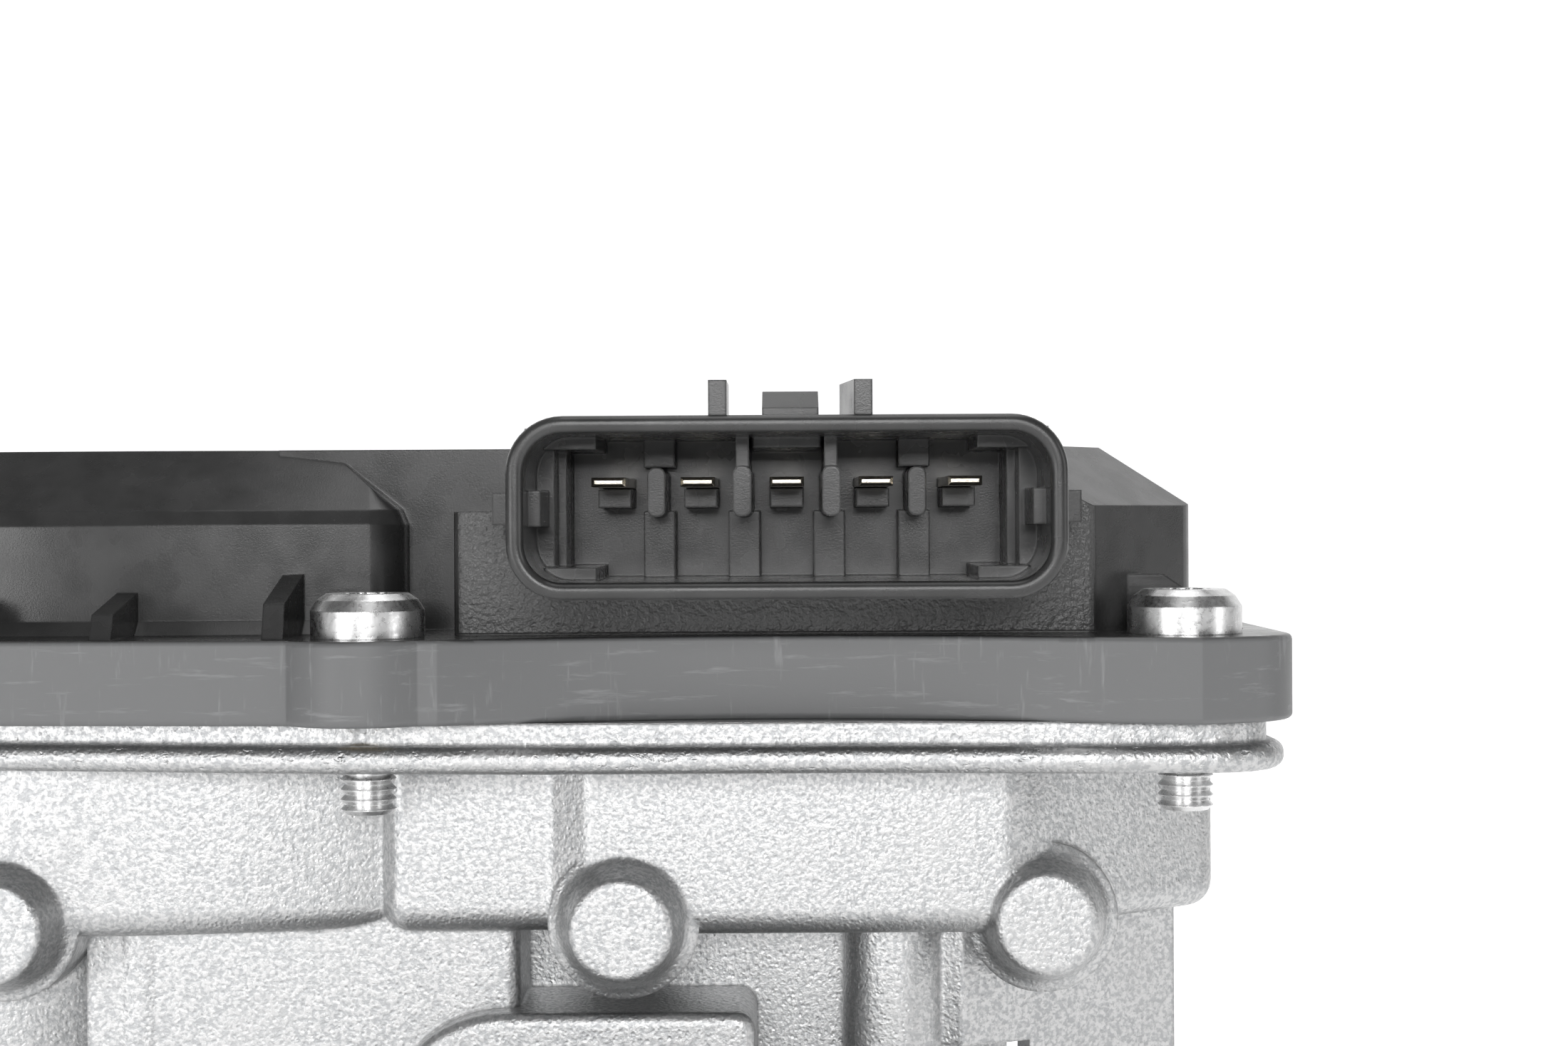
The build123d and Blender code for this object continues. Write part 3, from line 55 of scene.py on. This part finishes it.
# ---------------------------------------------------------------- node helpers
class Graph:
    """Builds one material's nodes; every method returns the socket that the next one takes."""

    def __init__(self, name):
        self.material = bpy.data.materials.new(name)
        self.material.use_nodes = True
        self.tree = self.material.node_tree
        self.tree.nodes.clear()
        self.place = self.add("ShaderNodeTexCoord").outputs["Object"]

    def add(self, kind, **values):
        node = self.tree.nodes.new(kind)
        for key, value in values.items():
            setattr(node, key, value)
        return node

    def feed(self, socket, value):
        if isinstance(value, bpy.types.NodeSocket):
            self.tree.links.new(value, socket)
        else:
            socket.default_value = value

    def stretched(self, scale):
        """The place on the object, with each axis drawn out by its own factor."""
        node = self.add("ShaderNodeVectorMath", operation="MULTIPLY")
        self.feed(node.inputs[0], self.place)
        node.inputs[1].default_value = scale
        return node.outputs[0]

    def noise(self, size_mm, detail=2.0, rough=0.5, at=None):
        node = self.add("ShaderNodeTexNoise")
        self.feed(node.inputs["Vector"], at or self.place)
        node.inputs["Scale"].default_value = 1 / (size_mm * MM)
        node.inputs["Detail"].default_value = detail
        node.inputs["Roughness"].default_value = rough
        return node.outputs["Fac"]

    def cells(self, size_mm):
        node = self.add("ShaderNodeTexVoronoi")
        self.feed(node.inputs["Vector"], self.place)
        node.inputs["Scale"].default_value = 1 / (size_mm * MM)
        return node.outputs["Distance"]

    def ramp(self, value, low, high, out_low=0.0, out_high=1.0):
        """Maps low..high to out_low..out_high and holds the ends."""
        node = self.add("ShaderNodeMapRange", interpolation_type="SMOOTHSTEP")
        self.feed(node.inputs["Value"], value)
        for key, number in zip(("From Min", "From Max", "To Min", "To Max"), (low, high, out_low, out_high)):
            node.inputs[key].default_value = number
        return node.outputs["Result"]

    def math(self, operation, first, second=0.0):
        node = self.add("ShaderNodeMath", operation=operation)
        for socket, value in zip(node.inputs, (first, second)):
            self.feed(socket, value)
        return node.outputs[0]

    def mix(self, factor, first, second):
        """Mixes two colours."""
        node = self.add("ShaderNodeMix", data_type="RGBA")
        self.feed(node.inputs["Factor"], factor)
        self.feed(node.inputs["A"], first)
        self.feed(node.inputs["B"], second)
        return node.outputs["Result"]

    def mix_number(self, factor, first, second):
        node = self.add("ShaderNodeMix", data_type="FLOAT")
        self.feed(node.inputs["Factor"], factor)
        self.feed(node.inputs["A"], first)
        self.feed(node.inputs["B"], second)
        return node.outputs["Result"]

    def axis(self, letter):
        node = self.add("ShaderNodeSeparateXYZ")
        self.feed(node.inputs[0], self.place)
        return node.outputs[letter]

    def within(self, value, low_mm, high_mm, soft_mm=0.05):
        """1 between two heights in millimetres, 0 outside."""
        rise = self.ramp(value, (low_mm - soft_mm) * MM, (low_mm + soft_mm) * MM)
        fall = self.ramp(value, (high_mm - soft_mm) * MM, (high_mm + soft_mm) * MM, 1.0, 0.0)
        return self.math("MULTIPLY", rise, fall)

    def painted_edge_highlight(self, radius_mm, low=0.02, high=0.16):
        """Mask for a painted highlight: 1 on sharp edges, 0 on open faces, from how far a bevelled normal
        turns away.
        """
        bevel = self.add("ShaderNodeBevel", samples=4)
        bevel.inputs["Radius"].default_value = radius_mm * MM
        plain = self.add("ShaderNodeNewGeometry").outputs["Normal"]
        dot = self.add("ShaderNodeVectorMath", operation="DOT_PRODUCT")
        self.feed(dot.inputs[0], bevel.outputs[0])
        self.feed(dot.inputs[1], plain)
        return self.ramp(self.math("SUBTRACT", 1.0, dot.outputs["Value"]), low, high)

    def rounded(self, radius_mm):
        bevel = self.add("ShaderNodeBevel", samples=4)
        bevel.inputs["Radius"].default_value = radius_mm * MM
        return bevel.outputs[0]

    def bump(self, height, depth_mm, normal=None, strength=1.0):
        node = self.add("ShaderNodeBump")
        node.inputs["Strength"].default_value = strength
        node.inputs["Distance"].default_value = depth_mm * MM
        self.feed(node.inputs["Height"], height)
        if normal is not None:
            self.feed(node.inputs["Normal"], normal)
        return node.outputs[0]

    def finish(self, **inputs):
        """The surface itself; inputs are named as on the Principled shader, with _ for a space."""
        shader = self.add("ShaderNodeBsdfPrincipled")
        for key, value in inputs.items():
            self.feed(shader.inputs[key.replace("_", " ")], value)
        out = self.add("ShaderNodeOutputMaterial")
        self.tree.links.new(shader.outputs[0], out.inputs[0])
        return self.material


def grey(value, tint=(1.0, 1.0, 1.0)):
    return (value * tint[0], value * tint[1], value * tint[2], 1.0)


# ---------------------------------------------------------------- materials
def cast_aluminium():
    """Die-cast skin with a sandy grain; the bore, the manifold face and the joint are machined."""
    g = Graph("cast_aluminium")
    grain = g.noise(0.36, 3.0, 0.6)
    sand = g.ramp(g.cells(0.45), 0.05, 0.45)
    blotch = g.noise(7.0, 3.0)
    x, y, z = g.axis("X"), g.axis("Y"), g.axis("Z")
    across = g.math("SQRT", g.math("ADD", g.math("MULTIPLY", x, x), g.math("MULTIPLY", z, z)))
    bore = g.ramp(across, (BORE_R + 0.15) * MM, (BORE_R + 0.3) * MM, 1.0, 0.0)
    face = g.ramp(y, -0.06 * MM, -0.02 * MM)
    joint = g.within(z, JOINT_Z - 0.05, JOINT_Z + 0.1, 0.02)
    machined = g.math("MAXIMUM", g.math("MAXIMUM", bore, face), joint)
    cast = g.mix(g.ramp(grain, 0.40, 0.60), grey(0.39, COLD), grey(0.53))
    cast = g.mix(g.ramp(blotch, 0.45, 0.8, 0.0, 0.6), cast, grey(0.46))
    lip = g.within(z, *LIP_SPAN_Z)
    dents = g.ramp(g.noise(0.9, 3.0, 0.7, g.stretched((0.7, 0.7, 1.5))), 0.60, 0.72)
    rings = g.noise(0.12, 1.0, 0.5, g.stretched((0.05, 1.0, 0.05)))
    height = g.math("ADD", g.math("MULTIPLY", grain, 1.0), g.math("MULTIPLY", sand, 0.35))
    height = g.math("ADD", height, g.math("MULTIPLY", g.math("MULTIPLY", dents, lip), -0.9))
    height = g.mix_number(machined, height, g.math("MULTIPLY", rings, 0.12))
    normal = g.bump(height, 0.085, g.rounded(0.5), 0.75)
    rough = g.mix_number(machined, g.ramp(grain, 0.3, 0.7, 0.46, 0.34), 0.24)
    colour = g.mix(machined, cast, grey(0.80))
    return g.finish(Base_Color=colour, Metallic=1.0, Roughness=rough, Normal=normal)


def cover_plastic():
    """Black glass-filled nylon: smooth walls, a spark-eroded grain on the socket's block, scuffed flange."""
    g = Graph("cover_plastic")
    x, y, z = g.axis("X"), g.axis("Y"), g.axis("Z")
    on_face = g.within(y, *BLOCK_FACE_SPAN_Y)
    above = g.ramp(z, (FLANGE_TOP_Z + 0.05) * MM, (FLANGE_TOP_Z + 0.2) * MM)
    across = g.within(x, *BLOCK_SPAN_X)
    block = g.math("MULTIPLY", g.math("MULTIPLY", on_face, above), across)
    flange = g.ramp(z, (FLANGE_TOP_Z - 0.2) * MM, FLANGE_TOP_Z * MM, 1.0, 0.0)
    grain = g.noise(0.33, 2.0, 0.5)
    fine = g.noise(0.12, 2.0, 0.5)
    scuffs = g.noise(1.3, 4.0, 0.7, g.stretched((0.15, 0.5, 1.6)))
    drags = g.noise(1.0, 3.0, 0.6, g.stretched((1.6, 0.5, 0.2)))
    scratch = g.math("MAXIMUM", g.ramp(scuffs, 0.56, 0.72), g.ramp(drags, 0.6, 0.78))
    dust = g.ramp(g.cells(1.6), 0.0, 0.06, 1.0, 0.0)
    wear = g.math("MULTIPLY", flange, scratch)
    colour = g.mix(g.ramp(g.noise(4.0, 3.0), 0.3, 0.7), grey(0.022), grey(0.034))
    colour = g.mix(block, colour, grey(0.055))
    colour = g.mix(flange, colour, grey(0.125, COLD))
    colour = g.mix(g.math("MULTIPLY", wear, 0.35), colour, grey(0.30, COLD))
    colour = g.mix(g.math("MULTIPLY", dust, 0.10), colour, grey(0.3))
    rough = g.mix_number(block, g.ramp(g.noise(3.0, 3.0), 0.3, 0.7, 0.22, 0.30), 0.36)
    rough = g.mix_number(g.math("MULTIPLY", flange, 0.8), rough, 0.5)
    height = g.mix_number(block, g.math("MULTIPLY", fine, 0.10), g.math("MULTIPLY", grain, 2.2))
    height = g.math("ADD", height, g.math("MULTIPLY", wear, -0.25))
    return g.finish(Base_Color=colour, Roughness=rough, Normal=g.bump(height, 0.07, g.rounded(0.22), 0.8))


def metal(name, tone, roughness, tint=(1.0, 1.0, 1.0), grain_mm=0.25, streak=(1.0, 1.0, 1.0), depth_mm=0.01):
    """Bare or plated metal with fine tool marks, a little staining and a painted highlight on sharp edges.
    """
    g = Graph(name)
    marks = g.noise(grain_mm, 3.0, 0.6, g.stretched(streak))
    stain = g.noise(2.5, 3.0)
    edge_highlight = g.painted_edge_highlight(0.25)
    colour = g.mix(g.ramp(stain, 0.3, 0.75), grey(tone, tint), grey(tone * 0.78, tint))
    # Painted highlight: sharp edges get a lighter base colour.
    colour = g.mix(g.math("MULTIPLY", edge_highlight, 0.6), colour, grey(min(tone * 1.15, 0.95), tint))
    rough = g.ramp(marks, 0.3, 0.7, roughness * 0.8, roughness * 1.25)
    normal = g.bump(marks, depth_mm, g.rounded(0.12), 0.6)
    return g.finish(Base_Color=colour, Metallic=1.0, Roughness=rough, Normal=normal)


def dull(name, tone, roughness, tint=(1.0, 1.0, 1.0), grain_mm=0.3, depth_mm=0.02):
    """Rubber, ferrite, carbon and moulded plastics."""
    g = Graph(name)
    marks = g.noise(grain_mm, 3.0, 0.6)
    cloud = g.noise(3.0, 3.0)
    colour = g.mix(g.ramp(cloud, 0.3, 0.7), grey(tone, tint), grey(tone * 0.8, tint))
    rough = g.ramp(marks, 0.3, 0.7, roughness * 0.85, roughness * 1.1)
    return g.finish(Base_Color=colour, Roughness=rough, Normal=g.bump(marks, depth_mm, g.rounded(0.15), 0.6))


COLD = (0.97, 0.985, 1.0)
WARM, COPPER, BRONZE, CREAM = (1.0, 0.93, 0.80), (1.0, 0.52, 0.34), (1.0, 0.72, 0.42), (1.0, 0.96, 0.84)
BRASS = (1.0, 0.80, 0.45)
FINISHES = {
    "cast_aluminium": cast_aluminium(),
    "cover_plastic": cover_plastic(),
    "seal_rubber": dull("seal_rubber", 0.02, 0.6),
    "plated_steel": metal("plated_steel", 0.74, 0.30, grain_mm=0.35, depth_mm=0.015),
    "plain_steel": metal("plain_steel", 0.58, 0.26, streak=(0.2, 0.2, 1.0)),
    "bearing_steel": metal("bearing_steel", 0.66, 0.14, depth_mm=0.002),
    "spring_steel": metal("spring_steel", 0.40, 0.32),
    "lamination_steel": metal("lamination_steel", 0.32, 0.42, streak=(0.05, 0.05, 2.0), depth_mm=0.04),
    "brass": metal("brass", 0.78, 0.28, BRASS, streak=(0.3, 0.3, 1.0)),
    "tinned_brass": metal("tinned_brass", 0.84, 0.20, WARM, depth_mm=0.006),
    "bronze": metal("bronze", 0.6, 0.45, BRONZE, depth_mm=0.02),
    "copper": metal("copper", 0.75, 0.3, COPPER, streak=(1.0, 1.0, 0.1)),
    "ferrite": dull("ferrite", 0.06, 0.45),
    "carbon": dull("carbon", 0.03, 0.55),
    "gear_plastic": dull("gear_plastic", 0.62, 0.42, CREAM),
    "motor_plastic": dull("motor_plastic", 0.05, 0.45),
    "chip_plastic": dull("chip_plastic", 0.03, 0.5),
}
for subpart in frame["record"]["subparts"]:
    node = frame["nodes"][subpart["node"]]
    for material_slot in node.material_slots:
        material_slot.material = FINISHES[subpart["material_slot"]]


# ---------------------------------------------------------------- studio
def sweep():
    """Pale floor that curves up into a backdrop behind the object."""
    low, high = cad_box
    floor_z, near, far = low.z - 0.2 * MM, -1.2, 1.4
    radius, width, top = 0.5, 3.0, 2.6
    profile = [(near, floor_z), (far - radius, floor_z)]
    for i in range(1, 17):
        turn = math.pi / 2 * i / 16
        profile.append((far - radius + radius * math.sin(turn), floor_z + radius - radius * math.cos(turn)))
    profile.append((far, floor_z + top))
    verts = [(side * width, y, z) for y, z in profile for side in (-1, 1)]
    faces = [(2 * i, 2 * i + 1, 2 * i + 3, 2 * i + 2) for i in range(len(profile) - 1)]
    mesh = bpy.data.meshes.new("studio_sweep")
    mesh.from_pydata(verts, [], faces)
    mesh.polygons.foreach_set("use_smooth", [True] * len(faces))
    floor = bpy.data.objects.new("studio_sweep", mesh)
    bpy.context.collection.objects.link(floor)
    g = Graph("studio_paper")
    tone = g.mix(g.noise(40.0, 2.0), grey(0.90), grey(0.93))
    paper = g.finish(Base_Color=tone, Roughness=0.9, Emission_Color=tone, Emission_Strength=0.7)
    mesh.materials.append(paper)


def area_light(name, place, aim, size, power, size_y=None):
    light = bpy.data.lights.new(name, "AREA")
    light.energy = power
    light.shape = "RECTANGLE"
    light.size, light.size_y = size, size_y or size
    lamp = bpy.data.objects.new(name, light)
    bpy.context.collection.objects.link(lamp)
    lamp.location = place
    lamp.rotation_euler = (Vector(aim) - Vector(place)).to_track_quat("-Z", "Y").to_euler()
    return lamp


def studio():
    sweep()
    middle = (0.0, -0.04, 0.06)
    area_light("softbox_left", (-0.48, -0.68, 0.11), middle, 0.30, 1.5, 0.26)
    area_light("softbox_right", (0.66, -0.38, 0.20), middle, 0.22, 0.7, 0.4)
    area_light("softbox_front", (0.02, -0.85, 0.24), middle, 0.36, 2.7, 0.20)
    area_light("softbox_top", (0.05, -0.05, 0.70), middle, 0.6, 1.2, 0.30)
    world = bpy.data.worlds.new("studio")
    bpy.context.scene.world = world
    world.use_nodes = True
    world.node_tree.nodes["Background"].inputs[0].default_value = (1, 1, 1, 1)
    world.node_tree.nodes["Background"].inputs[1].default_value = WORLD_LIGHT
    bpy.context.scene.view_settings.view_transform = "Standard"


def camera():
    """Level, close view of the socket and the top of the casting."""
    data = bpy.data.cameras.new("camera")
    data.sensor_width, data.lens = SENSOR_W, LENS
    data.clip_start = 0.01
    eye = bpy.data.objects.new("camera", data)
    bpy.context.collection.objects.link(eye)
    eye.location = [value * MM for value in EYE]
    eye.rotation_mode = "XYZ"
    eye.rotation_euler = (math.radians(90.0 - PITCH_DOWN), math.radians(ROLL), 0.0)
    bpy.context.scene.camera = eye


studio()
camera()
